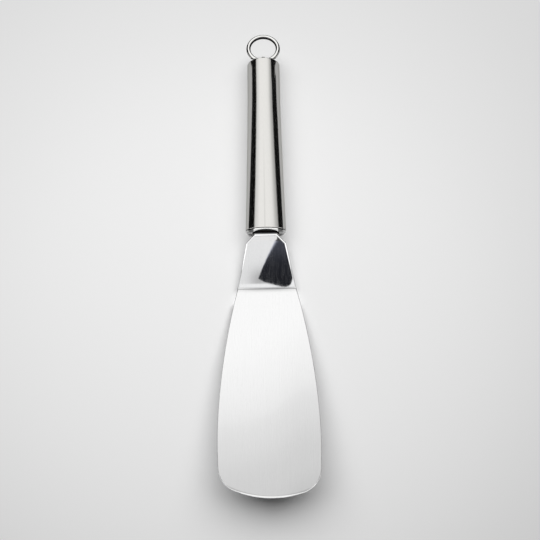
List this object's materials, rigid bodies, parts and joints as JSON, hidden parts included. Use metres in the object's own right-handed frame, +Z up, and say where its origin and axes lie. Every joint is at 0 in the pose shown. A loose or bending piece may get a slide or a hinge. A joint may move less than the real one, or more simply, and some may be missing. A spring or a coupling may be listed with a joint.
{
  "type": "pancake turner",
  "caption": "Kitchen turner with a wide flat blade, a bent neck, a hollow tube handle and a hanging ring that swings in an eye.",
  "frame": {"origin": "middle of the bottom of the bounding box, on the table that the turner lies on", "axes": "+Y along the tool toward the hanging ring, +Z up from the table, X across the blade, with the tool symmetric about X = 0"},
  "size_m": [0.0698, 0.3142, 0.0466],
  "materials": {
    "sheet_steel": "near-mirror polish, faint lengthwise grain",
    "tube_steel": "fine satin, brushed lengthwise",
    "collar_steel": "polished",
    "black_plastic": "matt",
    "cap_steel": "satin",
    "eye_steel": "satin",
    "ring_steel": "polished wire"
  },
  "bodies": {
    "turner": {"blade_head": "sheet_steel", "handle_tube": "tube_steel", "mouth_collar": "collar_steel", "tang_plug": "black_plastic", "end_cap": "cap_steel", "ring_eye": "eye_steel"},
    "ring": {"hanging_ring": "ring_steel"}
  },
  "joints": [
    {"name": "ring_swing", "type": "hinge", "parent": "turner", "child": "ring", "pos_m": [0, 0.13681, 0.0091], "axis": [1, 0, 0], "range_deg": [-104, 118]}
  ]
}
